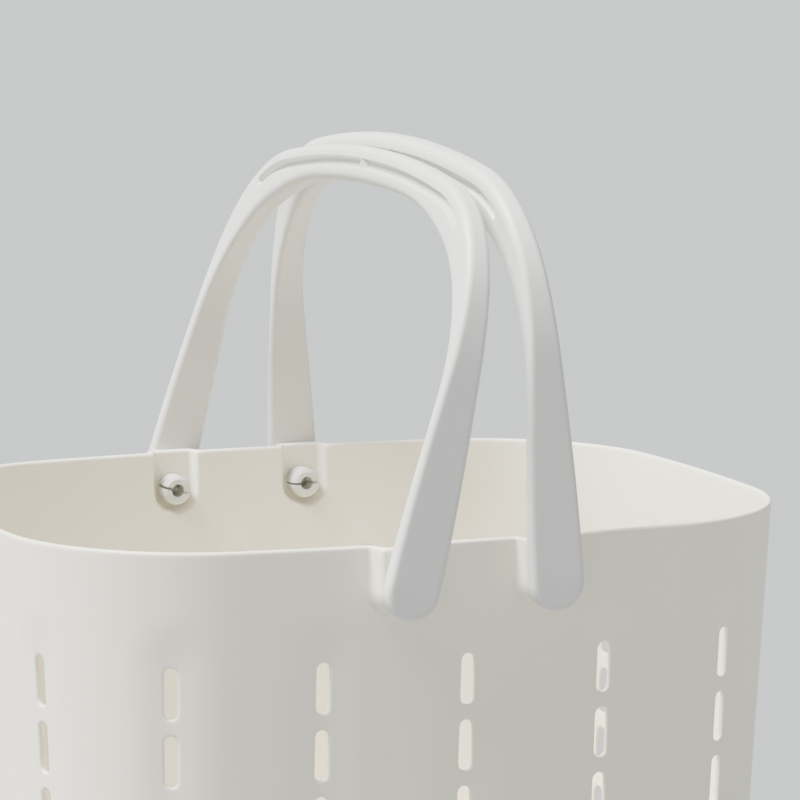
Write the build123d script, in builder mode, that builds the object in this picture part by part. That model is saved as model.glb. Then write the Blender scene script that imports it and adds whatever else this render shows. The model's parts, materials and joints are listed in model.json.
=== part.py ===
from build123d import *
import math
import os

# Two-handled shower caddy: a moulded plastic tub with slotted walls, two swinging carry handles
# and the four split snap studs that the handles turn on.
#
# Millimetres. Origin at the centre of the resting face of the base, +Z up, +X along the tub's
# long side, -Y towards the front wall. The handles stand as they lean together at rest.

# ---- tub: overall sizes ----
RIM_LENGTH = 283.3        # outside, along X, at the rim
RIM_WIDTH = 221.1         # outside, along Y, at the rim
TUB_HEIGHT = 190.0
LONG_WALL_BOW = 666.0     # radius of the long walls, at the rim
END_WALL_BOW = 615.0      # radius of the end walls
CORNER_RADIUS = 67.9      # radius of the corners between them
WALL_LEAN = 3.03          # degrees, each wall leans out from the base to the rim
WALL = 2.2
BASE_THICK = 2.6
BASE_EDGE_ROUND = 7.0     # outside, round the foot of the walls

# ---- tub: resting ring and drain slots in the base ----
RING_WIDTH = 12.0         # flat ring that the tub stands on
RING_HEIGHT = 1.0
DRAIN_LENGTH = 18.2
DRAIN_WIDTH = 5.4
DRAIN_PITCH_X = 30.0
DRAIN_PITCH_Y = 30.0
DRAIN_MARGIN = 16.0       # at least this far from the resting ring to the drain slots

# ---- tub: slots in the walls ----
SLOT_LENGTH = 18.2
SLOT_WIDTH = 5.4
SLOT_PITCH = 22.8         # down a column
SLOT_TOP_DROP = 38.4      # from the rim to the top of a column's first slot
SLOT_BOTTOM_MARGIN = 17.0  # at least this far from the resting face to a column's last slot
SLOT_REACH = 15.0         # of the cut, each way from the wall
COLUMN_PITCH = 51.2       # between columns on the long walls, at the rim
COLUMNS_EACH_SIDE = 2     # of the middle column of a long wall
END_COLUMN_Y = 60.0       # outer columns of an end wall, from its middle, at the rim

# ---- handle pivots ----
PIVOT_SPACING = 52.0      # between the two handles' pivots, along X
PIVOT_DROP = 14.3         # from the rim down to the pivots
RUNNING_GAP = 0.3         # between a handle's foot and the tub
FOOT_RADIUS = 9.5
FOOT_THICK = 6.2

# ---- bosses: the wall steps out under each foot, with a pocket on the inside ----
BOSS_OUT = 5.55           # outer face of each boss, out from the rim
BOSS_MARGIN = 0.5         # of that face, round the foot
BOSS_FLARE = 2.8          # from the edge of that face to the edge of the boss's root
BOSS_ROOT = 1.0           # how far behind the wall's inner face the boss is drawn from
BOSS_WALL = 3.4
POCKET_CLEARANCE = 2.3    # round a stud's head

# ---- snap studs ----
SHANK_RADIUS = 4.5
SHANK_GAP = 0.1           # all round, in the tub's hole
HEAD_LIP = 1.0            # of the head, out from the shank
HEAD_LENGTH = 7.7
HEAD_CHAMFER = 1.2
STUD_BORE_RADIUS = 2.5
STUD_SLIT = 1.0
SOCKET_DEPTH = 4.2        # of the shank, into the handle's foot
HEAD_GAP = 0.3            # between the head and the floor of the pocket

# ---- handles ----
GRIP_TOP = 140.3          # pivot to the top of the grip
GRIP_THICK = 13.1         # top to underside of the grip
GRIP_WIDTH = 8.8
RIGHT_LEAN = 3.1          # degrees from upright, towards the left handle, which rests on it
OUTER_LEG_LEAN = 2.8      # degrees, each leg's outer face leans in from its foot
OUTER_BENDS = ((98.4, 15.6), (53.5, 62.0))    # radius, degrees turned
INNER_BENDS = ((700.0, 3.6), (60.8, 59.4), (118.9, 22.6))
LEG_WIDTH_LOW = 15.4      # strap width where it starts to narrow fast
LEG_WIDTH_HIGH = 10.1     # strap width near the shoulder
LOW_HEIGHT = 50.0         # over the pivot, of the first of those widths
HIGH_HEIGHT = 90.0        # and of the second
GRIP_START = 112.0        # height where the strap reaches the grip's width
HANDLE_EDGE_ROUND = 1.9

# ---- recess along each side of the grip ----
RECESS_WIDTH = 3.6
RECESS_DEPTH = 2.6
RECESS_HALF_SPAN = 90.0   # along Y, from the middle of the grip
RECESS_RIB = 0.8          # rib across the middle of the recess

CUT_OVERRUN = 1.0         # of a cut, past what it cuts

os.makedirs("parts", exist_ok=True)

LEAN_PER_MM = math.tan(math.radians(WALL_LEAN))
PIVOT_Z = TUB_HEIGHT - PIVOT_DROP
BOSS_FACE_Y = RIM_WIDTH / 2 + BOSS_OUT
BOSS_FACE_RADIUS = FOOT_RADIUS + BOSS_MARGIN
BOSS_ROOT_RADIUS = BOSS_FACE_RADIUS + BOSS_FLARE
POCKET_FACE_Y = BOSS_FACE_Y - BOSS_WALL
HEAD_RADIUS = SHANK_RADIUS + HEAD_LIP
POCKET_RADIUS = HEAD_RADIUS + POCKET_CLEARANCE
FOOT_INNER_Y = BOSS_FACE_Y + RUNNING_GAP
FOOT_OUTER_Y = FOOT_INNER_Y + FOOT_THICK


def corner_centre():
    """Centre of the corner arc that meets a long wall's arc and an end wall's arc smoothly."""
    long_y = RIM_WIDTH / 2 - LONG_WALL_BOW
    end_x = RIM_LENGTH / 2 - END_WALL_BOW
    to_long, to_end = LONG_WALL_BOW - CORNER_RADIUS, END_WALL_BOW - CORNER_RADIUS
    apart = math.hypot(end_x, long_y)
    along = (to_long**2 - to_end**2 + apart**2) / (2 * apart)
    aside = math.sqrt(to_long**2 - along**2)
    x, y = end_x / apart, -long_y / apart
    return along * x + aside * y, long_y + along * y - aside * x


def outline_arcs(drawn_in):
    """Quarter outline drawn in from the rim's: centre, radius and two angles of each arc."""
    centre = corner_centre()
    long_centre = (0.0, RIM_WIDTH / 2 - LONG_WALL_BOW)
    end_centre = (RIM_LENGTH / 2 - END_WALL_BOW, 0.0)
    long_angle = math.atan2(centre[1] - long_centre[1], centre[0])
    end_angle = math.atan2(centre[1], centre[0] - end_centre[0])
    return [
        (long_centre, LONG_WALL_BOW - drawn_in, math.pi / 2, long_angle),
        (centre, CORNER_RADIUS - drawn_in, long_angle, end_angle),
        (end_centre, END_WALL_BOW - drawn_in, end_angle, 0.0),
    ]


def arc_point(arc, angle):
    """Point of an arc at an angle."""
    (centre_x, centre_y), radius, _, _ = arc
    return centre_x + radius * math.cos(angle), centre_y + radius * math.sin(angle)


def draw_outline(drawn_in):
    """The closed outline, its long and end arcs each drawn whole."""
    long_arc, corner_arc, end_arc = outline_arcs(drawn_in)
    long_end, corner_middle, end_start = (
        arc_point(long_arc, long_arc[3]),
        arc_point(corner_arc, (corner_arc[2] + corner_arc[3]) / 2),
        arc_point(end_arc, end_arc[2]),
    )
    for side in (1, -1):
        x, y = long_end
        ThreePointArc((-x, side * y), (0, side * arc_point(long_arc, math.pi / 2)[1]), (x, side * y))
        x, y = end_start
        ThreePointArc((side * x, -y), (side * arc_point(end_arc, 0)[0], 0), (side * x, y))
        for end in (1, -1):
            ThreePointArc(*[(end * px, side * py) for px, py in (long_end, corner_middle, end_start)])


def drawn_in_at(height, inset=0.0):
    """How far the outline at a height lies inside the rim's outline, plus an inset."""
    return (TUB_HEIGHT - height) * LEAN_PER_MM + inset


def count_that_fits(room, size, pitch):
    """How many things of a size fit in the room at that pitch."""
    return int((room - size) // pitch) + 1


def wall_point(centre, angle, radius, height):
    """Point on the outer wall at a height, on the arc of that centre, angle and rim radius."""
    reach = radius - drawn_in_at(height)
    return centre[0] + reach * math.cos(angle), centre[1] + reach * math.sin(angle)


def slot_columns():
    """Centre, angle and rim radius of the wall's arc at each slot column, all the way round."""
    long_arc, corner_arc, end_arc = outline_arcs(0.0)
    quarter = []
    for count in range(COLUMNS_EACH_SIDE + 1):
        x = count * COLUMN_PITCH
        on_long = x <= arc_point(long_arc, long_arc[3])[0]
        centre, radius, _, _ = long_arc if on_long else corner_arc
        quarter.append((centre, math.acos((x - centre[0]) / radius), radius))
    for y in (END_COLUMN_Y, 0.0):
        on_end = y <= arc_point(end_arc, end_arc[2])[1]
        centre, radius, _, _ = end_arc if on_end else corner_arc
        quarter.append((centre, math.asin((y - centre[1]) / radius), radius))
    columns = []
    for (x, y), angle, radius in quarter:
        level, square = math.isclose(angle, 0.0, abs_tol=1e-9), math.isclose(angle, math.pi / 2)
        for end in (1,) if square else (1, -1):
            for side in (1,) if level else (1, -1):
                turned = math.atan2(side * math.sin(angle), end * math.cos(angle))
                columns.append(((end * x, side * y), turned, radius))
    return columns


def arch_arcs(foot_y, leg_lean, bends, top):
    """Arcs of one half of an arch, from the leg to the apex: centre, radius, two angles.

    The straight leg below them is as long as brings the apex to the height top.
    """
    start = math.radians(leg_lean)
    inward, upward, angle = 0.0, 0.0, start
    for radius, turn in bends:
        after = angle + math.radians(turn)
        inward += radius * (math.cos(angle) - math.cos(after))
        upward += radius * (math.sin(after) - math.sin(angle))
        angle = after
    last_rise = (1 - math.sin(angle)) / math.cos(angle)
    leg = (top - upward - (foot_y - inward) * last_rise) / (1 - last_rise * math.tan(start))

    y, r, angle = foot_y - leg * math.tan(start), leg, start
    arcs = []
    for radius, turn in bends:
        centre = (y - radius * math.cos(angle), r - radius * math.sin(angle))
        arcs.append((centre, radius, angle, angle + math.radians(turn)))
        angle += math.radians(turn)
        y, r = arc_point(arcs[-1], angle)
    last_radius = y / math.cos(angle)
    arcs.append(((0.0, top - last_radius), last_radius, angle, math.pi / 2))
    return arcs


def drawn_in_arcs(arcs, inset, half_span):
    """The arcs moved parallel towards their centres, kept as far out as half_span."""
    kept = []
    for centre, radius, start, end in arcs:
        reach = (half_span - centre[0]) / (radius - inset)
        cut = math.acos(min(1.0, max(-1.0, reach)))
        if cut < end:
            kept.append((centre, radius - inset, max(start, cut), end))
    return kept


def draw_arcs(arcs, side):
    """Draw the arcs, or their mirror images, and give their first point."""
    for arc in arcs:
        start, end = arc[2], arc[3]
        at = [arc_point(arc, angle) for angle in (start, (start + end) / 2, end)]
        ThreePointArc(*[(side * y, r) for y, r in at])
    y, r = arc_point(arcs[0], arcs[0][2])
    return side * y, r


# ---- tub ----
with BuildPart() as basket_shell:
    with BuildSketch(Plane.XY):
        with BuildLine():
            draw_outline(drawn_in_at(0.0))
        make_face()
    extrude(amount=TUB_HEIGHT, taper=-WALL_LEAN)
    fillet(basket_shell.edges().group_by(Axis.Z)[0], radius=BASE_EDGE_ROUND)

    # bosses under the handles' feet
    for side in (-1, 1):
        for end in (-1, 1):
            outward = Plane(
                origin=(end * PIVOT_SPACING / 2, 0, PIVOT_Z), x_dir=(-side, 0, 0), z_dir=(0, side, 0)
            )
            root_y = RIM_WIDTH / 2 - WALL - BOSS_ROOT
            for y, radius in ((root_y, BOSS_ROOT_RADIUS), (BOSS_FACE_Y, BOSS_FACE_RADIUS)):
                with BuildSketch(outward.offset(y)):
                    with BuildLine():
                        Polyline((-radius, 0), (-radius, PIVOT_DROP), (radius, PIVOT_DROP), (radius, 0))
                        ThreePointArc((radius, 0), (0, -radius), (-radius, 0))
                    make_face()
            loft()

    # inside of the tub
    with BuildSketch(Plane.XY.offset(BASE_THICK)):
        with BuildLine():
            draw_outline(drawn_in_at(BASE_THICK, WALL))
        make_face()
    extrude(amount=TUB_HEIGHT - BASE_THICK, taper=-WALL_LEAN, mode=Mode.SUBTRACT)
    floor_edges = basket_shell.edges().filter_by_position(Axis.Z, BASE_THICK - 0.01, BASE_THICK + 0.01)
    fillet(floor_edges, radius=BASE_EDGE_ROUND - WALL)

    # pockets behind the bosses, open at the rim, and the holes for the studs
    pocket_top = PIVOT_DROP + CUT_OVERRUN
    wall_inner_y = RIM_WIDTH / 2 - drawn_in_at(PIVOT_Z - POCKET_RADIUS, WALL)
    pocket_depth = POCKET_FACE_Y - wall_inner_y + CUT_OVERRUN
    for side in (-1, 1):
        for end in (-1, 1):
            inward = Plane(
                origin=(end * PIVOT_SPACING / 2, side * POCKET_FACE_Y, PIVOT_Z),
                x_dir=(side, 0, 0), z_dir=(0, -side, 0),
            )
            with BuildSketch(inward):
                with BuildLine():
                    Polyline(
                        (-POCKET_RADIUS, 0), (-POCKET_RADIUS, pocket_top),
                        (POCKET_RADIUS, pocket_top), (POCKET_RADIUS, 0),
                    )
                    ThreePointArc((POCKET_RADIUS, 0), (0, -POCKET_RADIUS), (-POCKET_RADIUS, 0))
                make_face()
            extrude(amount=pocket_depth, mode=Mode.SUBTRACT)
            with BuildSketch(inward):
                Circle(SHANK_RADIUS + SHANK_GAP)
            extrude(amount=BOSS_WALL + CUT_OVERRUN, both=True, mode=Mode.SUBTRACT)

    # slots, in columns that lean with the wall
    first_slot = TUB_HEIGHT - SLOT_TOP_DROP - SLOT_LENGTH / 2
    slot_room = TUB_HEIGHT - SLOT_TOP_DROP - SLOT_BOTTOM_MARGIN
    slot_rows = count_that_fits(slot_room, SLOT_LENGTH, SLOT_PITCH)
    for centre, angle, radius in slot_columns():
        outward = Vector(math.cos(angle), math.sin(angle), 0)
        x, y = wall_point(centre, angle, radius, first_slot)
        upright = Plane(origin=(x, y, first_slot), x_dir=(0, 0, 1), z_dir=outward)
        with BuildSketch(upright):
            with Locations(*[(-row * SLOT_PITCH, 0) for row in range(slot_rows)]):
                SlotOverall(SLOT_LENGTH, SLOT_WIDTH)
        extrude(amount=SLOT_REACH, both=True, mode=Mode.SUBTRACT)

    # base: resting ring and drain slots
    with BuildSketch(Plane.XY):
        with BuildLine():
            draw_outline(drawn_in_at(0.0, RING_WIDTH))
        make_face()
    extrude(amount=RING_HEIGHT, mode=Mode.SUBTRACT)
    drain_edge = 2 * (drawn_in_at(0.0, RING_WIDTH) + DRAIN_MARGIN)
    drain_columns = count_that_fits(RIM_LENGTH - drain_edge, DRAIN_LENGTH, DRAIN_PITCH_X)
    drain_rows = count_that_fits(RIM_WIDTH - drain_edge, DRAIN_WIDTH, DRAIN_PITCH_Y)
    with BuildSketch(Plane.XY):
        with GridLocations(DRAIN_PITCH_X, DRAIN_PITCH_Y, drain_columns, drain_rows):
            SlotOverall(DRAIN_LENGTH, DRAIN_WIDTH)
    extrude(amount=BASE_THICK + CUT_OVERRUN, mode=Mode.SUBTRACT)

basket_shell.part.label = "basket_shell"
export_step(basket_shell.part, "parts/basket_shell.step")


def resting_lean(other_lean):
    """Lean of a handle whose rounded grip edge comes to RUNNING_GAP from the other grip's side."""
    edge_height = GRIP_TOP - HANDLE_EDGE_ROUND
    edge_out = GRIP_WIDTH / 2 - HANDLE_EDGE_ROUND
    other_side = PIVOT_SPACING * math.cos(math.radians(other_lean)) - GRIP_WIDTH / 2
    reach = other_side - RUNNING_GAP - HANDLE_EDGE_ROUND
    both = math.asin(reach / math.hypot(edge_height, edge_out)) - math.atan(edge_out / edge_height)
    return math.degrees(both) - other_lean


# ---- handles and their studs ----
for name, end, lean in (("left", -1, resting_lean(RIGHT_LEAN)), ("right", 1, RIGHT_LEAN)):
    tilt = math.radians(lean) * -end
    pivot = (end * PIVOT_SPACING / 2, 0, PIVOT_Z)
    strap_x = Vector(math.cos(tilt), 0, -math.sin(tilt))
    side_view = Plane(origin=pivot, x_dir=(0, 1, 0), z_dir=strap_x)
    front_view = Plane(origin=pivot, x_dir=strap_x, z_dir=(0, -1, 0))
    outer = arch_arcs(FOOT_OUTER_Y, OUTER_LEG_LEAN, OUTER_BENDS, GRIP_TOP)
    inner = arch_arcs(FOOT_INNER_Y, 0.0, INNER_BENDS, GRIP_TOP - GRIP_THICK)
    recess_arcs = drawn_in_arcs(outer, GRIP_THICK / 2, RECESS_HALF_SPAN)

    with BuildPart() as handle:
        # the arch seen from its side, wide enough for the feet
        with BuildSketch(side_view):
            with BuildLine():
                for side in (1, -1):
                    outer_leg = draw_arcs(outer, side)
                    inner_leg = draw_arcs(inner, side)
                    Polyline(
                        outer_leg, (side * FOOT_OUTER_Y, 0), (side * FOOT_OUTER_Y, -FOOT_RADIUS),
                        (side * FOOT_INNER_Y, -FOOT_RADIUS), inner_leg,
                    )
            make_face()
        extrude(amount=FOOT_RADIUS, both=True)

        # the strap seen from the front: round foot, narrowing leg, narrow grip
        strap_top = GRIP_TOP + CUT_OVERRUN
        strap_y = FOOT_OUTER_Y + CUT_OVERRUN
        with BuildSketch(front_view.offset(-strap_y)):
            with BuildLine():
                for side in (1, -1):
                    Spline(
                        (side * FOOT_RADIUS, 0), (side * LEG_WIDTH_LOW / 2, LOW_HEIGHT),
                        (side * LEG_WIDTH_HIGH / 2, HIGH_HEIGHT), (side * GRIP_WIDTH / 2, GRIP_START),
                        tangents=[(0, 1), (0, 1)],
                    )
                    Line((side * GRIP_WIDTH / 2, GRIP_START), (side * GRIP_WIDTH / 2, strap_top))
                Line((GRIP_WIDTH / 2, strap_top), (-GRIP_WIDTH / 2, strap_top))
                ThreePointArc((FOOT_RADIUS, 0), (0, -FOOT_RADIUS), (-FOOT_RADIUS, 0))
            make_face()
        extrude(amount=2 * strap_y, mode=Mode.INTERSECT)
        fillet(handle.edges(), radius=HANDLE_EDGE_ROUND)

        # recess along both sides of the grip, with a rib across its middle
        for face in (1, -1):
            with BuildSketch(side_view.offset(face * GRIP_WIDTH / 2)):
                with BuildLine():
                    for side in (1, -1):
                        draw_arcs(recess_arcs, side)
                    offset(amount=RECESS_WIDTH / 2)
                make_face()
                Rectangle(RECESS_RIB, 2 * strap_top, mode=Mode.SUBTRACT)
            extrude(amount=-face * RECESS_DEPTH, mode=Mode.SUBTRACT)

        # sockets for the studs
        for side in (1, -1):
            with BuildSketch(Plane(origin=pivot, x_dir=strap_x, z_dir=(0, side, 0)).offset(FOOT_INNER_Y)):
                Circle(SHANK_RADIUS)
            extrude(amount=SOCKET_DEPTH, mode=Mode.SUBTRACT)

    handle.part.label = f"{name}_handle"
    export_step(handle.part, f"parts/{name}_handle.step")

    for side, place in ((-1, "front"), (1, "rear")):
        with BuildPart() as snap_stud:
            inward = Plane(origin=pivot, x_dir=strap_x, z_dir=(0, -side, 0))
            tip_y = POCKET_FACE_Y - HEAD_GAP - HEAD_LENGTH
            with BuildSketch(inward.offset(-FOOT_INNER_Y - SOCKET_DEPTH)):
                Circle(SHANK_RADIUS)
            extrude(amount=FOOT_INNER_Y + SOCKET_DEPTH - tip_y)
            with BuildSketch(inward.offset(-tip_y - HEAD_LENGTH)):
                Circle(HEAD_RADIUS)
            extrude(amount=HEAD_LENGTH)
            tip = snap_stud.faces().sort_by(Axis.Y)[0 if side > 0 else -1]
            chamfer(tip.edges(), length=HEAD_CHAMFER)
            with BuildSketch(inward.offset(-tip_y)):
                Circle(STUD_BORE_RADIUS)
                Rectangle(2 * (HEAD_RADIUS + CUT_OVERRUN), STUD_SLIT)
            extrude(amount=-HEAD_LENGTH - HEAD_GAP, mode=Mode.SUBTRACT)
        snap_stud.part.label = f"{name}_{place}_snap_stud"
        export_step(snap_stud.part, f"parts/{name}_{place}_snap_stud.step")
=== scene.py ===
"""The looks of a two-handled shower caddy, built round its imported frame.

The tub and the two strap handles are surfaces worked out with numpy; the snap studs are the
frame's own nodes with a finish. Everything is in metres, with the origin under the tub.
"""

import json
import math

import bmesh
import bpy
import numpy as np
from mathutils import Matrix, Vector


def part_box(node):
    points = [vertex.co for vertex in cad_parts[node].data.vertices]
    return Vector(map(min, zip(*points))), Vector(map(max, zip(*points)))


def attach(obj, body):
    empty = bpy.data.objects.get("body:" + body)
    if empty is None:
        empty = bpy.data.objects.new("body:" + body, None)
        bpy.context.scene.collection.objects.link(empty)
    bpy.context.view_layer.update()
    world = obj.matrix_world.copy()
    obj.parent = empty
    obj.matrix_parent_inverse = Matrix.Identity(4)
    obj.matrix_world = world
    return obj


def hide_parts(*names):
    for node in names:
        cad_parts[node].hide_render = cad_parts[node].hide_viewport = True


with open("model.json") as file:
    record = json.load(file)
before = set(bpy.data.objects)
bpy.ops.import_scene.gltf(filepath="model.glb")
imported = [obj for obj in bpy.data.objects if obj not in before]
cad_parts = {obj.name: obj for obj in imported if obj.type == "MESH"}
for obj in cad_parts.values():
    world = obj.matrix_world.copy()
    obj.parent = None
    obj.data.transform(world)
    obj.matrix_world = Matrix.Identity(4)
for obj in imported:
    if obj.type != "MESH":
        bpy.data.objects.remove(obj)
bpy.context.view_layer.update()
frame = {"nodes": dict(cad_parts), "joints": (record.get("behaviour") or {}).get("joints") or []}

bl_info = {
    "name": "Shower caddy",
    "version": (1, 0, 0),
    "blender": (4, 5, 0),
    "location": "View3D > Sidebar > Shower caddy",
    "description": "Builds a moulded plastic shower caddy with two swinging handles",
    "category": "Add Mesh",
}

MM = 0.001
TUB_LOW, TUB_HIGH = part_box("basket_shell")
JOINTS = {joint["name"]: joint for joint in frame["joints"]}
PIVOTS = {
    "left": Vector(JOINTS["left_handle_swing"]["pos_m"]),
    "right": Vector(JOINTS["right_handle_swing"]["pos_m"]),
}
QUARTER = math.pi / 2


# ---- settings ----
def length(name, default_mm, description):
    """A length property whose default is given in millimetres."""
    return bpy.props.FloatProperty(
        name=name, description=description, default=default_mm * MM,
        min=0.0, unit="LENGTH", precision=5,
    )


def angle(name, default_degrees, description):
    """An angle property whose default is given in degrees."""
    return bpy.props.FloatProperty(
        name=name, description=description, default=math.radians(default_degrees), unit="ROTATION"
    )


def colour(name, default, description):
    """A colour property."""
    return bpy.props.FloatVectorProperty(
        name=name, description=description, default=default,
        subtype="COLOR", size=3, min=0.0, max=1.0,
    )


def factor(name, default, description):
    """A number between 0 and 1."""
    return bpy.props.FloatProperty(
        name=name, description=description, default=default, min=0.0, max=1.0, subtype="FACTOR"
    )


class TubSettings(bpy.types.PropertyGroup):
    """Sizes of the tub"""

    rim_width: length("Rim width", 221.1, "Outside width of the rim, across the long walls")
    long_wall_bow: length("Long wall bow", 666.0, "Radius of the long walls at the rim")
    end_wall_bow: length("End wall bow", 615.0, "Radius of the end walls at the rim")
    corner_radius: length("Corner radius", 67.9, "Radius of the corners at the rim")
    wall_lean: angle("Wall lean", 3.03, "How far each wall leans out from upright")
    wall: length("Wall", 2.2, "Thickness of the walls")
    base: length("Base", 2.6, "Height of the floor inside the tub")
    base_round: length("Base rounding", 7.0, "Outside rounding round the foot of the walls")
    ring_width: length("Ring width", 12.0, "From the outline to the inner edge of the resting ring")
    ring_height: length("Ring height", 1.0, "How far the base stands up inside the resting ring")
    slot_length: length("Slot length", 17.3, "Length of the slots in the walls and the base")
    slot_width: length("Slot width", 4.6, "Width of the slots")
    slot_pitch: length("Slot pitch", 22.8, "Between slots down a column")
    slot_top_drop: length("First slot drop", 38.85, "From the rim to the top of the first slots")
    slot_rows: bpy.props.IntProperty(
        name="Slot rows", description="Slots in a column", default=6, min=1
    )
    column_pitch: length("Column pitch", 51.2, "Between slot columns on the long walls")
    end_column: length("End column", 60.0, "Outer columns of the end walls, from the middle")
    slot_round: length("Slot rounding", 0.75, "Rounding of the slots' edges")
    flute_depth: length("Flute depth", 1.1, "Depth of the shallow hollow that each column lies in")
    flute_width: length("Flute width", 27.0, "Width of that hollow")
    flute_drop: length("Flute drop", 22.0, "From the rim to the top of the hollows")
    flute_ease: length("Flute ease", 18.0, "Length over which a hollow comes in and runs out")
    boss_inner: length("Boss flat", 8.3, "Radius of the flat on each boss")
    boss_outer: length("Boss foot", 10.8, "Radius at which a boss has run out into the wall")
    boss_wall: length("Boss wall", 3.4, "Thickness of the wall that carries a stud")
    pocket_inner: length("Pocket flat", 7.0, "Radius of the flat floor of the pocket behind a boss")
    pocket_outer: length("Pocket mouth", 9.0, "Radius at which the pocket's sides end")
    stud_hole: length("Stud hole", 4.6, "Radius of the hole that a stud turns in")
    drain_pitch: length("Drain pitch", 30.0, "Between drain slots, both ways")


class HandleSettings(bpy.types.PropertyGroup):
    """Sizes of the two handles"""

    grip_top: length("Grip top", 140.3, "From the pivots to the top of the grip")
    grip_thick: length("Grip height", 13.1, "Height of the grip's section")
    grip_width: length("Grip width", 8.8, "Width of the grip's section")
    foot_radius: length("Foot radius", 9.5, "Radius of the round feet")
    foot_thick: length("Foot thickness", 6.2, "Thickness of the feet")
    running_gap: length("Running gap", 0.3, "Between a foot and the boss behind it")
    leg_lean: angle("Leg lean", 2.8, "How far the outside of a leg leans in")
    leg_low_width: length("Leg width, low", 15.4, "Strap width at the lower leg")
    leg_high_width: length("Leg width, high", 10.1, "Strap width under the shoulder")
    leg_round: length("Leg rounding", 1.9, "Edge rounding of the legs")
    grip_round: length("Grip rounding", 3.3, "Edge rounding of the grip")
    recess_width: length("Recess width", 3.6, "Width of the recess along the grip")
    recess_depth: length("Recess depth", 2.6, "Depth of that recess")
    recess_span: length("Recess span", 90.0, "From the middle of the grip to the recess's end")
    recess_rib: length("Recess rib", 0.8, "Width of the rib across the middle of the recess")
    right_lean: angle("Right lean", 3.1, "How far the right handle leans towards the left one")


class PlasticSettings(bpy.types.PropertyGroup):
    """Tints and finish of the plastics"""

    tub: colour("Tub", (0.90, 0.855, 0.71), "Warm white of the tub")
    handles: colour("Handles", (0.66, 0.66, 0.625), "White of the handles and studs")
    roughness: factor("Roughness", 0.42, "Roughness of the satin surface")


class StageSettings(bpy.types.PropertyGroup):
    """Floor, lights and camera"""

    floor: colour("Floor", (0.240, 0.250, 0.250), "Colour of the floor")
    azimuth: angle("Azimuth", 22.9, "Camera, round to the left of the front")
    elevation: angle("Elevation", 7.78, "Camera, above the level")
    roll: angle("Roll", 0.375, "Camera, clockwise")
    distance: length("Distance", 1463.2, "Camera to its target")
    target: bpy.props.FloatVectorProperty(
        name="Target", description="Point that the camera looks at", default=(0.01997, 0.0, 0.22139),
        subtype="TRANSLATION", unit="LENGTH", size=3, precision=5,
    )
    lens: bpy.props.FloatProperty(
        name="Lens", description="Focal length in millimetres", default=185.27
    )
    ambient: bpy.props.FloatProperty(
        name="Ambient", description="Strength of the even light", default=0.60
    )
    key_power: bpy.props.FloatProperty(
        name="Key", description="Strength of the key light", default=15.0
    )
    key_size: angle("Key size", 28.0, "How wide the key light looks from the caddy")


# ---- shared working-out ----
MERGE_GAP = 2e-6             # points of neighbouring parts closer than this are one
SHORTEST_EDGE = 1e-7


def smooth_step(values):
    """0 below 0, 1 above 1, and 3 x^2 - 2 x^3 between."""
    x = np.clip(values, 0.0, 1.0)
    return x * x * (3 - 2 * x)


def stations(breaks, spacings):
    """Values that run through the breaks, each stretch cut into steps no longer than its spacing."""
    parts = [
        np.linspace(low, high, max(1, math.ceil((high - low) / step - 1e-6)), endpoint=False)
        for low, high, step in zip(breaks[:-1], breaks[1:], spacings)
    ]
    return np.concatenate(parts + [np.array([breaks[-1]])])


def clamped_spline(x, knots, values):
    """Cubic through (knots, values) with level ends, its slopes solved so that it bends evenly."""
    knots, values = np.asarray(knots, float), np.asarray(values, float)
    gaps = np.diff(knots)
    rises = np.diff(values) / gaps
    count = len(knots)
    system = np.eye(count)
    wanted = np.zeros(count)
    for row in range(1, count - 1):
        before, after = gaps[row - 1], gaps[row]
        system[row, row - 1 : row + 2] = after, 2 * (before + after), before
        wanted[row] = 3 * (after * rises[row - 1] + before * rises[row])
    slopes = np.linalg.solve(system, wanted)
    x = np.clip(x, knots[0], knots[-1])
    piece = np.clip(np.searchsorted(knots, x, side="right") - 1, 0, count - 2)
    gap = gaps[piece]
    t = (x - knots[piece]) / gap
    start, end = values[piece], values[piece + 1]
    curve = start * (1 + 2 * t) * (1 - t) ** 2 + end * (3 - 2 * t) * t**2
    return curve + gap * (slopes[piece] * t * (1 - t) ** 2 - slopes[piece + 1] * (1 - t) * t**2)


def grid_faces(rows, columns, closed, keep=None):
    """Quads of a grid of points stored row by row; keep marks the cells that are wanted."""
    across = columns if closed else columns - 1
    row, column = np.meshgrid(np.arange(rows - 1), np.arange(across), indexing="ij")
    if keep is not None:
        row, column = row[keep], column[keep]
    row, column = row.ravel(), column.ravel()
    after = (column + 1) % columns
    low, high = row * columns, (row + 1) * columns
    return np.stack([low + column, low + after, high + after, high + column], axis=1)


def build_mesh(name, parts):
    """One closed, smooth object from (points, faces) parts, whose shared edges are merged."""
    points, faces, first = [], [], 0
    for part_points, part_faces in parts:
        flat = np.asarray(part_points, float).reshape(-1, 3)
        points.append(flat)
        faces += (part_faces + first).tolist()
        first += len(flat)
    mesh = bpy.data.meshes.new(name)
    mesh.from_pydata(np.concatenate(points).tolist(), [], faces)
    work = bmesh.new()
    work.from_mesh(mesh)
    bmesh.ops.remove_doubles(work, verts=work.verts, dist=MERGE_GAP)
    bmesh.ops.dissolve_degenerate(work, edges=work.edges, dist=SHORTEST_EDGE)
    bmesh.ops.recalc_face_normals(work, faces=work.faces)
    loose = sum(1 for edge in work.edges if len(edge.link_faces) != 2)
    if loose:
        work.free()
        raise ValueError(f"{name} isn't closed: {loose} edges don't join two faces")
    work.to_mesh(mesh)
    work.free()
    mesh.shade_smooth()
    thing = bpy.data.objects.new(name, mesh)
    bpy.context.scene.collection.objects.link(thing)
    return thing


# ---- tub: outline ----
OUTLINE_SAMPLES = 90001      # places tried round the rim to find a coordinate on it


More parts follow.
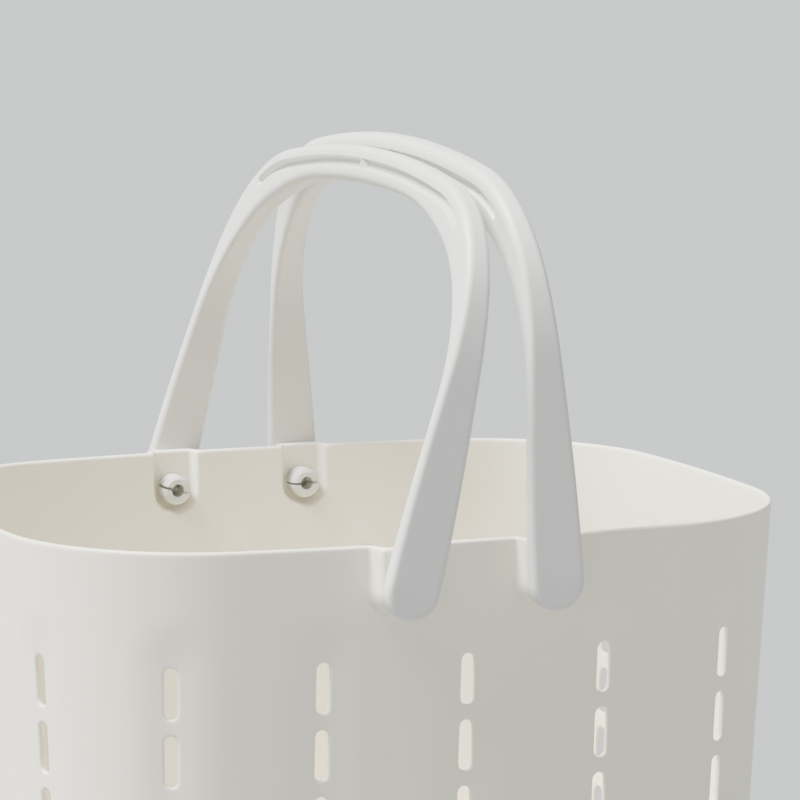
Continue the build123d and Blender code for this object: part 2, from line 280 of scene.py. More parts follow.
class Outline:
    """The rim's outline as twelve arcs, run anticlockwise from the middle of the +X end.

    A place on it is the length s along the rim. Drawing the outline in by d keeps each arc's
    centre and takes d off its radius, so the walls stay equally thick.
    """

    def __init__(self, tub):
        half_x, half_y = TUB_HIGH.x, tub.rim_width / 2
        long_y, end_x = half_y - tub.long_wall_bow, half_x - tub.end_wall_bow
        to_long = tub.long_wall_bow - tub.corner_radius
        to_end = tub.end_wall_bow - tub.corner_radius
        apart = math.hypot(end_x, long_y)
        along = (to_long**2 - to_end**2 + apart**2) / (2 * apart)
        aside = math.sqrt(to_long**2 - along**2)
        corner_x = (along * end_x - aside * long_y) / apart
        corner_y = long_y - (along * long_y + aside * end_x) / apart
        at_end = math.atan2(corner_y, corner_x - end_x)
        at_long = math.atan2(corner_y - long_y, corner_x)
        quarter = [
            (end_x, 0.0, tub.end_wall_bow, 0.0, at_end),
            (corner_x, corner_y, tub.corner_radius, at_end, at_long),
            (0.0, long_y, tub.long_wall_bow, at_long, QUARTER),
        ]
        arcs = list(quarter)
        arcs += [(-x, y, r, math.pi - b, math.pi - a) for x, y, r, a, b in reversed(quarter)]
        arcs += [(-x, -y, r, math.pi + a, math.pi + b) for x, y, r, a, b in quarter]
        arcs += [(x, -y, r, 2 * math.pi - b, 2 * math.pi - a) for x, y, r, a, b in reversed(quarter)]
        self.arcs = np.array(arcs)
        lengths = self.arcs[:, 2] * (self.arcs[:, 4] - self.arcs[:, 3])
        self.starts = np.concatenate([[0.0], np.cumsum(lengths)])
        self.total = self.starts[-1]

    def arc_index(self, s):
        """Which arc each place s lies on."""
        s = np.mod(s, self.total)
        return s, np.clip(np.searchsorted(self.starts, s, side="right") - 1, 0, len(self.arcs) - 1)

    def point(self, s, drawn_in):
        """Points at s along the rim, on the outline drawn in by drawn_in."""
        s, index = self.arc_index(s)
        x, y, radius, start = (self.arcs[index, column] for column in range(4))
        turned = start + (s - self.starts[index]) / radius
        reach = radius - drawn_in
        return x + reach * np.cos(turned), y + reach * np.sin(turned)

    def stretch(self, s, drawn_in):
        """How much rim length stands for a unit of length on the outline drawn in by drawn_in."""
        radius = self.arcs[self.arc_index(s)[1], 2]
        return radius / (radius - drawn_in)

    def place(self, value, axis, side):
        """The length s at which coordinate axis has the value, on the wall on that side."""
        s = np.linspace(0, self.total, OUTLINE_SAMPLES)
        points = self.point(s, 0.0)
        off = np.where(np.sign(points[1 - axis]) == side, np.abs(points[axis] - value), np.inf)
        return s[np.argmin(off)]


class Wall:
    """The tub's wall as a surface of place s, height z and depth d, 0 outside and 1 inside.

    Outside and inside are the outline drawn in by the wall's lean, less a cosine-squared flute
    round each slot column. Near a pivot both move out to the flats of its boss and pocket.
    """

    def __init__(self, tub):
        self.tub = tub
        self.outline = Outline(tub)
        self.height = TUB_HIGH.z
        across = [count * tub.column_pitch for count in range(-2, 3)]
        down = (-tub.end_column, 0.0, tub.end_column)
        places = [self.outline.place(x, 0, side) for x in across for side in (-1, 1)]
        places += [self.outline.place(y, 1, side) for y in down for side in (-1, 1)]
        # the grid starts just past the first column, so that no hole lies across its seam
        self.start = SLOT_CELL_HALF
        self.columns = self.from_start(places)
        self.pivots = [(pivot, side) for pivot in PIVOTS.values() for side in (-1, 1)]
        self.pivot_places = self.from_start(
            self.outline.place(pivot.x, 0, side) for pivot, side in self.pivots
        )

    def from_start(self, places):
        """The places in order round the tub from the grid's start."""
        total = self.outline.total
        return sorted(float(s + total if s < self.start else s) for s in places)

    def drawn_in(self, z):
        """How far the wall's outside has come in from the rim's outline at height z."""
        return (self.height - z) * math.tan(self.tub.wall_lean)

    def flute(self, s, z):
        """Depth of the flutes: cosine squared across, eased in at the top and out at the foot."""
        tub, total = self.tub, self.outline.total
        gap = np.mod(s[..., None] - np.array(self.columns) + total / 2, total) - total / 2
        gap = np.abs(gap).min(axis=-1)
        across = np.cos(QUARTER * np.clip(2 * gap / tub.flute_width, 0, 1)) ** 2
        top = self.height - tub.flute_drop
        upright = smooth_step((top - z) / tub.flute_ease) * smooth_step(z / tub.flute_ease)
        return tub.flute_depth * across * upright

    def side(self, s, z, inset, face_y, flat, foot):
        """One side of the wall: inset from the outline, moved to face_y over each boss."""
        x, y = self.outline.point(s, self.drawn_in(z) + inset + self.flute(s, z))
        for pivot, side in self.pivots:
            away = np.hypot(x - pivot.x, np.minimum(z - pivot.z, 0.0))
            share = 1 - smooth_step((away - flat) / (foot - flat))
            y = y + np.where(np.sign(y) == side, share, 0.0) * (side * face_y - y)
        return np.stack([x, y, z], axis=-1)

    def point(self, s, z, d):
        """Points of the wall at depth share d between its two sides."""
        tub = self.tub
        s, z, d = np.broadcast_arrays(np.asarray(s, float), z, d)
        outside = self.side(s, z, 0.0, TUB_HIGH.y, tub.boss_inner, tub.boss_outer)
        pocket_y = TUB_HIGH.y - tub.boss_wall
        inside = self.side(s, z, tub.wall, pocket_y, tub.pocket_inner, tub.pocket_outer)
        return outside + (inside - outside) * d[..., None]


# ---- holes through a wall or a floor ----
STRAIGHT_STEPS = 4           # along each straight side of a slot
EDGE_STEPS = 3               # round a slot's edge
CELL_SHARE = 0.4             # of the cell's own shape in the ring halfway to its hole


def rectangle_walk(u_lines, v_lines):
    """Points round the rectangle the lines span, anticlockwise from its lower left corner."""
    u, v = np.asarray(u_lines), np.asarray(v_lines)
    sides = [
        np.stack([u[:-1], np.full(len(u) - 1, v[0])], axis=1),
        np.stack([np.full(len(v) - 1, u[-1]), v[:-1]], axis=1),
        np.stack([u[:0:-1], np.full(len(u) - 1, v[-1])], axis=1),
        np.stack([np.full(len(v) - 1, u[0]), v[:0:-1]], axis=1),
    ]
    return np.concatenate(sides)


def slot_walk(centre, straight, radius, stretch, steps):
    """Points round a slot that stands along v, in step with rectangle_walk of the same steps.

    Its ends are half circles, with straight the half length between their centres, and u is
    scaled by stretch.
    """
    half_count = steps[0] + steps[1]
    arc_steps = half_count if straight == 0 else half_count - STRAIGHT_STEPS
    index = np.arange(2 * half_count) - steps[0] // 2 + arc_steps // 2
    step = index % half_count
    upper = index // half_count % 2
    turned = math.pi * (1 + np.clip(step / arc_steps, 0, 1) + upper)
    along = np.clip((step - arc_steps) / STRAIGHT_STEPS, 0, 1)
    v = radius * np.sin(turned) + np.where(upper == 1, 1.0, -1.0) * straight * (1 - 2 * along)
    return np.stack([centre[0] + stretch * radius * np.cos(turned), centre[1] + v], axis=1)


def hole_part(surface, u_lines, v_lines, centre, straight, radius, stretch, rounding, thick):
    """A cell of a wall with a slot through it: flat to a rounded edge, through, and out again."""
    steps = len(u_lines) - 1, len(v_lines) - 1
    cell = rectangle_walk(u_lines, v_lines)
    turn = np.linspace(0, QUARTER, EDGE_STEPS + 1)
    grow = rounding * (1 - np.sin(turn))
    depth = rounding * (1 - np.cos(turn)) / thick
    walks = [slot_walk(centre, straight, radius + g, stretch, steps) for g in grow]
    middle = CELL_SHARE * cell + (1 - CELL_SHARE) * walks[0]
    rings = [(cell, 0.0), (middle, 0.0)] + list(zip(walks, depth))
    rings += list(zip(walks[::-1], 1 - depth[::-1])) + [(middle, 1.0), (cell, 1.0)]
    points = np.stack(
        [surface(walk[:, 0], walk[:, 1], np.full(len(walk), depth)) for walk, depth in rings]
    )
    return points, grid_faces(len(rings), len(cell), True)


def between_loops(outer, inner, z, up):
    """Flat triangles between two loops round the origin, in order of their angle about it."""
    loops = outer, inner
    outer, inner = (loop[np.argsort(np.arctan2(loop[:, 1], loop[:, 0]))] for loop in loops)
    angles = np.concatenate([np.arctan2(loop[:, 1], loop[:, 0]) for loop in (outer, inner)])
    on_outer = np.argsort(angles, kind="stable") < len(outer)
    a = np.cumsum(on_outer) - 1
    b = np.cumsum(~on_outer) - 1
    n, m = len(outer), len(inner)
    third = np.where(on_outer, n + b % m, a % n)
    first = np.where(on_outer, (a - 1) % n, n + b % m)
    second = np.where(on_outer, a % n, n + (b - 1) % m)
    faces = np.stack([first, second, third], axis=1)
    flat = np.concatenate([outer, inner])
    points = np.concatenate([flat, np.full((n + m, 1), z)], axis=1)
    return points, faces if up else faces[:, ::-1]


# ---- tub ----
SLOT_STEPS = (4, 8)          # steps across and up the cell round a wall slot or a drain slot
PIVOT_STEPS = (8, 8)         # and round a stud's hole
SLOT_CELL_HALF = 4.0 * MM    # half the width of the cell round a slot
PIVOT_CELL_HALF = 5.7 * MM   # and round a stud's hole
BOSS_ZONE_HALF = 12.5 * MM   # fine steps reach this far from a pivot
FINE, COARSE = 0.7 * MM, 4.2 * MM    # steps round the tub, near a boss and elsewhere
ROW_STEP = 0.9 * MM          # steps up the walls above the slots
RING_ROUND_SHARE = 0.25      # of the ring's height that its edge rounding takes
RING_ROWS, BASE_ROWS, RIM_ROWS, FOOT_ROWS = 4, 8, 10, 4
RING_MARGIN = 1.0 * MM       # from a curved edge of the base to where its flat part begins
DRAIN_REACH = (101.5 * MM, 66.0 * MM)    # half size of the drained floor, along X and Y
DRAIN_ROUND = 0.3 * MM       # rounding of the drain slots' edges


def round_lines(wall):
    """Grid lines round the tub, and (first line, place) of each slot column and each pivot."""
    features = [(s, SLOT_CELL_HALF, SLOT_STEPS[0], "slot") for s in wall.columns]
    features += [(s, PIVOT_CELL_HALF, PIVOT_STEPS[0], "pivot") for s in wall.pivot_places]
    zone_ends = sorted(s + way * BOSS_ZONE_HALF for s in wall.pivot_places for way in (-1, 1))
    lines = [wall.start]
    found = {"slot": [], "pivot": []}
    for s, half, steps, kind in sorted(features):
        stops = [z for z in zone_ends if lines[-1] < z < s - half] + [s - half]
        for stop in stops:
            middle = (lines[-1] + stop) / 2
            near = min(abs(middle - place) for place in wall.pivot_places) < BOSS_ZONE_HALF
            lines += stations([lines[-1], stop], [FINE if near else COARSE])[1:].tolist()
        found[kind].append((len(lines) - 1, s))
        lines += np.linspace(s - half, s + half, steps + 1)[1:].tolist()
    return np.array(lines), found


def profile(tub, wall, z_lines):
    """Rows of the tub's section, from under the base up outside and down inside to the floor.

    Each row is (height, inset from the rim's outline or None, depth share). Rows with an inset
    belong to the base: a ring with a step, an arc outside and an arc inside.
    """
    lean = tub.wall_lean
    high, rim = wall.height, tub.wall / 2
    ring_in = wall.drawn_in(0.0) + tub.ring_width
    step, small = tub.ring_height, RING_ROUND_SHARE * tub.ring_height
    rows = [(step, ring_in + RING_MARGIN, 0.0)]
    turn = np.linspace(0, QUARTER, RING_ROWS)
    rows += [
        (step - small * (1 - math.cos(t)), ring_in + small * (1 - math.sin(t)), 0.0) for t in turn
    ]
    rows += [(small * (1 - math.sin(t)), ring_in - small * (1 - math.cos(t)), 0.0) for t in turn]
    outer_centre = wall.drawn_in(tub.base_round) + tub.base_round / math.cos(lean)
    outer = tub.base_round
    for t in np.linspace(QUARTER, lean, BASE_ROWS)[:-1]:
        rows.append((outer * (1 - math.sin(t)), outer_centre - outer * math.cos(t), 0.0))
    outer_foot = outer * (1 - math.sin(lean))
    rows += [(z, None, 0.0) for z in np.linspace(outer_foot, z_lines[0], FOOT_ROWS)[:-1]]
    first_outer = len(rows)
    rows += [(z, None, 0.0) for z in z_lines]
    for t in np.linspace(0, math.pi, RIM_ROWS)[1:-1]:
        rows.append((high - rim * (1 - math.sin(t)), None, (1 - math.cos(t)) / 2))
    first_inner = len(rows)
    rows += [(z, None, 1.0) for z in z_lines[::-1]]
    radius = tub.base_round - tub.wall
    centre_z = tub.base + radius
    inner_centre = wall.drawn_in(centre_z) + tub.wall + radius / math.cos(lean)
    inner_foot = centre_z - radius * math.sin(lean)
    rows += [(z, None, 1.0) for z in np.linspace(z_lines[0], inner_foot, FOOT_ROWS)[1:]]
    for t in np.linspace(lean, QUARTER, BASE_ROWS)[1:]:
        rows.append((centre_z - radius * math.sin(t), inner_centre - radius * math.cos(t), 1.0))
    rows.append((tub.base, inner_centre + RING_MARGIN, 1.0))
    return rows, first_outer, first_inner


def height_lines(tub, wall):
    """Heights of the grid's rows between the base and the rim, with the rows where holes start."""
    slot_high = wall.height - tub.slot_top_drop + (tub.slot_pitch - tub.slot_length) / 2
    slot_low = slot_high - tub.slot_rows * tub.slot_pitch
    hole_low, hole_high = (PIVOTS["left"].z + way * PIVOT_CELL_HALF for way in (-1, 1))
    slots = np.linspace(slot_low, slot_high, SLOT_STEPS[1] * tub.slot_rows + 1)
    between = stations([slot_high, hole_low], [ROW_STEP])[1:-1]
    hole = np.linspace(hole_low, hole_high, PIVOT_STEPS[1] + 1)
    above = stations([hole_high, wall.height - tub.wall / 2], [ROW_STEP])[1:]
    return np.concatenate([slots, between, hole, above]), len(slots) + len(between)


def tub_parts(tub):
    """The tub's wall and base: one grid, the cells with holes in them, and the drained floor."""
    wall = Wall(tub)
    s_lines, found = round_lines(wall)
    z_lines, hole_row = height_lines(tub, wall)
    rows, first_outer, first_inner = profile(tub, wall, z_lines)
    around = s_lines[:-1]
    points = np.empty((len(rows), len(around), 3))
    for row, (z, inset, d) in enumerate(rows):
        if inset is None:
            points[row] = wall.point(around, z, d)
        else:
            x, y = wall.outline.point(around, inset)
            points[row] = np.stack([x, y, np.full(len(around), z)], axis=1)
    keep = np.ones((len(rows) - 1, len(around)), bool)
    inner_last = first_inner + len(z_lines) - 1
    cells = []
    for kind, steps in (("slot", SLOT_STEPS), ("pivot", PIVOT_STEPS)):
        for line, place in found[kind]:
            slot_starts = [row * steps[1] for row in range(tub.slot_rows)]
            starts = slot_starts if kind == "slot" else [hole_row]
            for start in starts:
                columns = slice(line, line + steps[0])
                keep[first_outer + start : first_outer + start + steps[1], columns] = False
                keep[inner_last - start - steps[1] : inner_last - start, columns] = False
                u, v = s_lines[line : line + steps[0] + 1], z_lines[start : start + steps[1] + 1]
                centre = place, (v[0] + v[-1]) / 2
                if kind == "slot":
                    radius = tub.slot_width / 2
                    straight = tub.slot_length / 2 - radius
                    stretch = wall.outline.stretch(place, wall.drawn_in(centre[1]))
                    rounding = tub.slot_round
                else:
                    radius, straight, stretch = tub.stud_hole, 0, 1.0
                    rounding = tub.slot_round / 2
                shape = centre, straight, radius, stretch, rounding, tub.wall
                cells.append(hole_part(wall.point, u, v, *shape))
    parts = [(points, grid_faces(len(rows), len(around), True, keep))] + cells

    def base_surface(u, v, d):
        """The base's underside at d = 0 and its floor at d = 1, with u along Y and v along X."""
        return np.stack([v, u, tub.ring_height + d * (tub.base - tub.ring_height)], axis=-1)

    lines = []
    for reach in DRAIN_REACH:
        count = round(2 * reach / tub.drain_pitch)
        cuts = (np.arange(1, count) - count / 2) * tub.drain_pitch
        lines.append(np.concatenate([[-reach], cuts, [reach]]))
    straight = (tub.slot_length - tub.slot_width) / 2
    drain_radius = (tub.slot_width + tub.slot_round) / 2
    v_cells = [np.linspace(a, b, SLOT_STEPS[1] + 1) for a, b in zip(lines[0][:-1], lines[0][1:])]
    u_cells = [np.linspace(a, b, SLOT_STEPS[0] + 1) for a, b in zip(lines[1][:-1], lines[1][1:])]
    middle_v, middle_u = (len(v_cells) - 1) / 2, (len(u_cells) - 1) / 2
    thick = tub.base - tub.ring_height
    for i, v in enumerate(v_cells):
        for j, u in enumerate(u_cells):
            centre = (j - middle_u) * tub.drain_pitch, (i - middle_v) * tub.drain_pitch
            shape = centre, straight, drain_radius, 1.0, DRAIN_ROUND, thick
            parts.append(hole_part(base_surface, u, v, *shape))
    u_all = np.unique(np.concatenate(u_cells))
    v_all = np.unique(np.concatenate(v_cells))
    patch = rectangle_walk(u_all, v_all)[:, ::-1]
    parts.append(between_loops(points[0, :, :2], patch, tub.ring_height, False))
    parts.append(between_loops(points[-1, :, :2], patch, tub.base, True))
    return parts


# ---- handles ----
# arcs of a handle's two faces above its straight leg: radius in millimetres, turn in degrees
BENDS = {
    "outer": ((98.4, 15.6), (53.5, 62.0)),
    "inner": ((700.0, 3.6), (60.8, 59.4), (118.9, 22.6)),
}
# heights above the pivot: lower leg, under the shoulder, where the grip's width begins
LOW_HEIGHT, HIGH_HEIGHT, GRIP_START = 50.0 * MM, 90.0 * MM, 112.0 * MM
ROUND_EASE = 42.0 * MM       # above HIGH_HEIGHT, over which the edges take the grip's rounding
ACROSS_REACH = 12 * MM       # no strap is thicker than this
CURVE_SAMPLES = 12000
CURVE_BEFORE = 2 * MM        # a face is followed this far below its pivot
TANGENT_STEP = 0.01 * MM
LEG_STEP, SHOULDER_STEP = 5 * MM, 2.5 * MM
RECESS_END_STEPS = (0.9 * MM, 0.35 * MM, 0.9 * MM)
RECESS_END_BREAKS = (-9 * MM, -3 * MM, 2 * MM, 9 * MM)   # from the recess's end, along the strap
GRIP_STEP = 2.2 * MM
RIB_HALF, RIB_STEP = 1.4 * MM, 0.2 * MM
RECESS_WALL = 0.22 * MM      # the recess reaches its depth within this
RECESS_LIP = 0.1             # share of that already gone at the recess's edge
SIDE_LINES = np.array([2.5, 2.15, 1.92, 1.8, 1.66, 1.3, 0.7, 0.0]) * MM
SIDE_REACH = 2.9 * MM
FACE_SHARES = np.array([0.0, 0.3, 0.55, 0.75, 0.9, 1.0])
CORNER_STEPS = 6
FOOT_STEPS = 24


def arch_arcs(foot_y, leg_lean, bends, top):
    """Arcs of one half of an arch, from the leg to the apex: centre, radius, two angles.

    The straight leg below them is as long as brings the apex to the height top, and the last
    arc has its centre on the middle line.
    """
    inward, upward, turned = 0.0, 0.0, leg_lean
    for radius, turn in bends:
        after = turned + turn
        inward += radius * (math.cos(turned) - math.cos(after))
        upward += radius * (math.sin(after) - math.sin(turned))
        turned = after
    last_rise = (1 - math.sin(turned)) / math.cos(turned)
    slope = math.tan(leg_lean)
    leg = (top - upward - (foot_y - inward) * last_rise) / (1 - last_rise * slope)
    y, r, turned = foot_y - leg * slope, leg, leg_lean
    arcs = []
    for radius, turn in bends:
        centre = y - radius * math.cos(turned), r - radius * math.sin(turned)
        arcs.append((*centre, radius, turned, turned + turn))
        turned += turn
        y, r = centre[0] + radius * math.cos(turned), centre[1] + radius * math.sin(turned)
    last_radius = y / math.cos(turned)
    arcs.append((0.0, top - last_radius, last_radius, turned, QUARTER))
    return arcs, leg / math.cos(leg_lean)


def arch_points(foot_y, leg_lean, bends, top, along):
    """Points (y, r) of one half of an arch at lengths along it from the foot, with its total."""
    arcs, leg = arch_arcs(foot_y, leg_lean, bends, top)
    lengths = [leg] + [radius * (end - start) for _, _, radius, start, end in arcs]
    starts = np.concatenate([[0.0], np.cumsum(lengths)])
    along = np.asarray(along, float)
    y = foot_y - along * math.sin(leg_lean)
    r = along * math.cos(leg_lean)
    for begin, (centre_y, centre_r, radius, start, _) in zip(starts[1:], arcs):
        turned = start + (along - begin) / radius
        on_arc = along >= begin
        y = np.where(on_arc, centre_y + radius * np.cos(turned), y)
        r = np.where(on_arc, centre_r + radius * np.sin(turned), r)
    return np.stack([y, r], axis=-1), starts[-1]


def across_arch(centres, directions, curve):
    """Distance from each centre along its direction to a closely sampled curve."""
    offset = curve[None] - centres[:, None]
    ahead = np.einsum("ijk,ik->ij", offset, directions)
    aside = offset[..., 0] * directions[:, None, 1] - offset[..., 1] * directions[:, None, 0]
    aside = np.abs(aside)
    nearest = np.argmin(np.where(np.abs(ahead) < ACROSS_REACH, aside, np.inf), axis=1)
    return ahead[np.arange(len(centres)), nearest]


def arch_half(name, foot_y, lean, top, along):
    """Points of the handle's outer or inner arch, and its total length."""
    bends = [(radius * MM, math.radians(turn)) for radius, turn in BENDS[name]]
    return arch_points(foot_y, lean, bends, top, along)


def handle_half(handle):
    """Sections of half a handle, from its pivot to its apex.

    Gives centres (y, r), directions outward across the strap, half thickness, half width,
    rounding, height above the pivot and length from the apex of every section.
    """
    inner_y = TUB_HIGH.y + handle.running_gap
    outer_y = inner_y + handle.foot_thick
    top, inset = handle.grip_top, handle.grip_thick / 2
    arches = {
        "outer": ("outer", outer_y, handle.leg_lean, top),
        "inner": ("inner", inner_y, 0.0, top - handle.grip_thick),
    }

    def path(along):
        """Points half the grip's height inside the outer face, and the directions outward."""
        here = arch_half(*arches["outer"], along)[0]
        ahead = arch_half(*arches["outer"], along + TANGENT_STEP)[0]
        tangents = (ahead - here) / TANGENT_STEP
        outward = np.stack([tangents[:, 1], -tangents[:, 0]], axis=1)
        outward /= np.linalg.norm(outward, axis=1)[:, None]
        outward[0] = 1.0, 0.0
        return here - inset * outward, outward

    total = arch_half(*arches["outer"], 0.0)[1]
    close = np.linspace(0, total, CURVE_SAMPLES)
    line = path(close)[0]
    end = close[np.argmin(np.abs(line[:, 0] - handle.recess_span) + (line[:, 1] < LOW_HEIGHT))]
    breaks = [0.0, LOW_HEIGHT, *(end + way for way in RECESS_END_BREAKS), total - RIB_HALF, total]
    spacings = [LEG_STEP, SHOULDER_STEP, *RECESS_END_STEPS, GRIP_STEP, RIB_STEP]
    along = stations(breaks, spacings)
    centres, directions = path(along)
    directions[-1] = 0.0, 1.0
    curves = {}
    for name, arch in arches.items():
        samples = np.linspace(-CURVE_BEFORE, arch_half(*arch, 0.0)[1], CURVE_SAMPLES)
        curves[name] = arch_half(*arch, samples)[0]
    out = across_arch(centres, directions, curves["outer"])
    back = across_arch(centres, directions, curves["inner"])
    out[0], back[0] = inset, inset - handle.foot_thick
    out[-1], back[-1] = inset, -inset
    height = centres[:, 1]
    centres = centres + directions * ((out + back) / 2)[:, None]
    knots = (0.0, LOW_HEIGHT, HIGH_HEIGHT, GRIP_START)
    strap_widths = handle.leg_low_width, handle.leg_high_width, handle.grip_width
    half_widths = handle.foot_radius, *(width / 2 for width in strap_widths)
    half_width = clamped_spline(height, knots, half_widths)
    gripped = smooth_step((height - HIGH_HEIGHT) / ROUND_EASE)
    rounding = handle.leg_round + (handle.grip_round - handle.leg_round) * gripped
    return centres, directions, (out - back) / 2, half_width, rounding, total - along, total - end


def half_section(thick, wide, rounding, shift):
    """Half a rounded rectangle, from the middle of its outer face to that of its inner face.

    Gives u across and n outward for each section, and which of the points lie on the side face.
    """
    thick, wide, rounding, shift = (value[:, None] for value in (thick, wide, rounding, shift))
    turn = np.linspace(0, QUARTER, CORNER_STEPS + 1)[None]
    face_u = FACE_SHARES[None, :-1] * (wide - rounding)
    corner_u = wide - rounding + rounding * np.sin(turn)
    corner_n = thick - rounding + rounding * np.cos(turn)
    lines = np.concatenate([SIDE_LINES, -SIDE_LINES[-2::-1]])[None]
    side_n = shift + lines * np.minimum(1.0, (thick - rounding - shift) / SIDE_REACH)
    side_u, face_n = wide + 0 * side_n, thick + 0 * face_u
    u = np.concatenate([face_u, corner_u, side_u, corner_u[:, ::-1], face_u[:, ::-1]], axis=1)
    n = np.concatenate([face_n, corner_n, side_n, -corner_n[:, ::-1], -face_n], axis=1)
    first = face_u.shape[1] + turn.shape[1]
    return u, n, slice(first, first + side_n.shape[1])


def handle_parts(handle, pivot, tilt):
    """One handle: a strap of rounded sections over its arch, with a turned half foot at each end.

    Along the grip's sides the surface sinks into a recess with rounded ends, which a thin rib
    crosses at the apex. The foot is the first section's half turned half round its pivot.
    """
    centres, directions, thick, wide, rounding, from_apex, recess_end = handle_half(handle)
    shift = np.maximum(thick - handle.grip_thick / 2, 0.0)
    u, n, side = half_section(thick, wide, rounding, shift)
    beyond = np.maximum(from_apex[:, None] - recess_end, 0.0)
    inside = handle.recess_width / 2 - np.hypot(n[:, side] - shift[:, None], beyond)
    inside = np.minimum(inside, from_apex[:, None] - handle.recess_rib / 2)
    u[:, side] -= handle.recess_depth * smooth_step(inside / RECESS_WALL + RECESS_LIP)
    y = centres[:, None, 0] + directions[:, None, 0] * n
    r = centres[:, None, 1] + directions[:, None, 1] * n
    right = np.stack([u, y, r], axis=-1)
    left = right[:, ::-1] * np.array([-1.0, 1.0, 1.0])
    half = np.concatenate([right, left[:, 1:-1]], axis=1)
    far = half[::-1] * np.array([1.0, -1.0, 1.0])
    strap = np.concatenate([half, far[1:]])
    turn = np.linspace(0, math.pi, FOOT_STEPS + 1)[:, None]
    foot = np.stack([u[0] * np.cos(turn), 0 * turn + y[0], -u[0] * np.sin(turn)], axis=-1)
    strap_x = np.array([math.cos(tilt), 0.0, -math.sin(tilt)])
    up = np.array([math.sin(tilt), 0.0, math.cos(tilt)])
    parts = [(strap, grid_faces(len(strap), strap.shape[1], True))]
    feet = grid_faces(*foot.shape[:2], False)
    parts += [(foot, feet), (foot * np.array([1.0, -1.0, 1.0]), feet)]
    placed = []
    for points, faces in parts:
        points = points.reshape(-1, 3)
        world = points[:, :1] * strap_x + points[:, 2:] * up
        world[:, 1] += points[:, 1]
        placed.append((world + np.array(pivot), faces))
    return placed


def resting_lean(handle):
    """Lean of the left handle, whose grip's rounded edge rests by the side of the right grip."""
    edge_height = handle.grip_top - handle.leg_round
    edge_out = handle.grip_width / 2 - handle.leg_round
    spacing = (PIVOTS["right"] - PIVOTS["left"]).length
    other_side = spacing * math.cos(handle.right_lean) - handle.grip_width / 2
    reach = other_side - handle.running_gap - handle.leg_round
    to_edge = math.hypot(edge_height, edge_out)
    both = math.asin(reach / to_edge) - math.atan(edge_out / edge_height)
    return both - handle.right_lean


# ---- plastics ----
TUB_GRAIN = (2200.0, 0.5)    # scale of the fine grain, and how wavy the surface is beside it
HANDLE_GRAIN = (2600.0, 0.3)
MOTTLE_SCALE, SHEEN_SCALE = 22.0, 90.0
SHEEN_SPREAD = 0.05          # how far the sheen moves the roughness, either way
SHADE_SHARE = 0.975          # darkest mottling, as a share of the tint


def grain_group():
    """Finish of moulded plastic: soft mottling, an uneven sheen and a fine spark-eroded grain."""
    group = bpy.data.node_groups.new("moulded_grain", "ShaderNodeTree")
    for name, kind, value in (
        ("Colour", "NodeSocketColor", (0.8, 0.8, 0.8, 1.0)),
        ("Shade", "NodeSocketColor", (0.7, 0.7, 0.7, 1.0)),
        ("Roughness", "NodeSocketFloat", 0.4),
        ("Grain size", "NodeSocketFloat", HANDLE_GRAIN[0]),
        ("Waviness", "NodeSocketFloat", HANDLE_GRAIN[1]),
    ):
        socket = group.interface.new_socket(name, in_out="INPUT", socket_type=kind)
        socket.default_value = value
    for name, kind in (
        ("Colour", "NodeSocketColor"),
        ("Roughness", "NodeSocketFloat"),
        ("Height", "NodeSocketFloat"),
    ):
        group.interface.new_socket(name, in_out="OUTPUT", socket_type=kind)
    nodes, links = group.nodes, group.links
    inputs, outputs = nodes.new("NodeGroupInput"), nodes.new("NodeGroupOutput")
    place = nodes.new("ShaderNodeTexCoord")
    mottle, sheen, grain = (nodes.new("ShaderNodeTexNoise") for _ in range(3))
    for node, detail in ((mottle, 3.0), (sheen, 2.0), (grain, 2.0)):
        links.new(place.outputs["Object"], node.inputs["Vector"])
        node.inputs["Detail"].default_value = detail
    mottle.inputs["Scale"].default_value = MOTTLE_SCALE
    sheen.inputs["Scale"].default_value = SHEEN_SCALE
    links.new(inputs.outputs["Grain size"], grain.inputs["Scale"])
    mix = nodes.new("ShaderNodeMix")
    mix.data_type = "RGBA"
    links.new(mottle.outputs["Fac"], mix.inputs["Factor"])
    links.new(inputs.outputs["Colour"], mix.inputs["A"])
    links.new(inputs.outputs["Shade"], mix.inputs["B"])
    links.new(mix.outputs["Result"], outputs.inputs["Colour"])
    spread = nodes.new("ShaderNodeMapRange")
    spread.inputs["To Min"].default_value = -SHEEN_SPREAD
    spread.inputs["To Max"].default_value = SHEEN_SPREAD
    links.new(sheen.outputs["Fac"], spread.inputs["Value"])
    rough = nodes.new("ShaderNodeMath")
    links.new(inputs.outputs["Roughness"], rough.inputs[0])
    links.new(spread.outputs["Result"], rough.inputs[1])
    links.new(rough.outputs["Value"], outputs.inputs["Roughness"])
    wave = nodes.new("ShaderNodeMath")
    wave.operation = "MULTIPLY_ADD"
    links.new(mottle.outputs["Fac"], wave.inputs[0])
    links.new(inputs.outputs["Waviness"], wave.inputs[1])
    links.new(grain.outputs["Fac"], wave.inputs[2])
    links.new(wave.outputs["Value"], outputs.inputs["Height"])
    return group


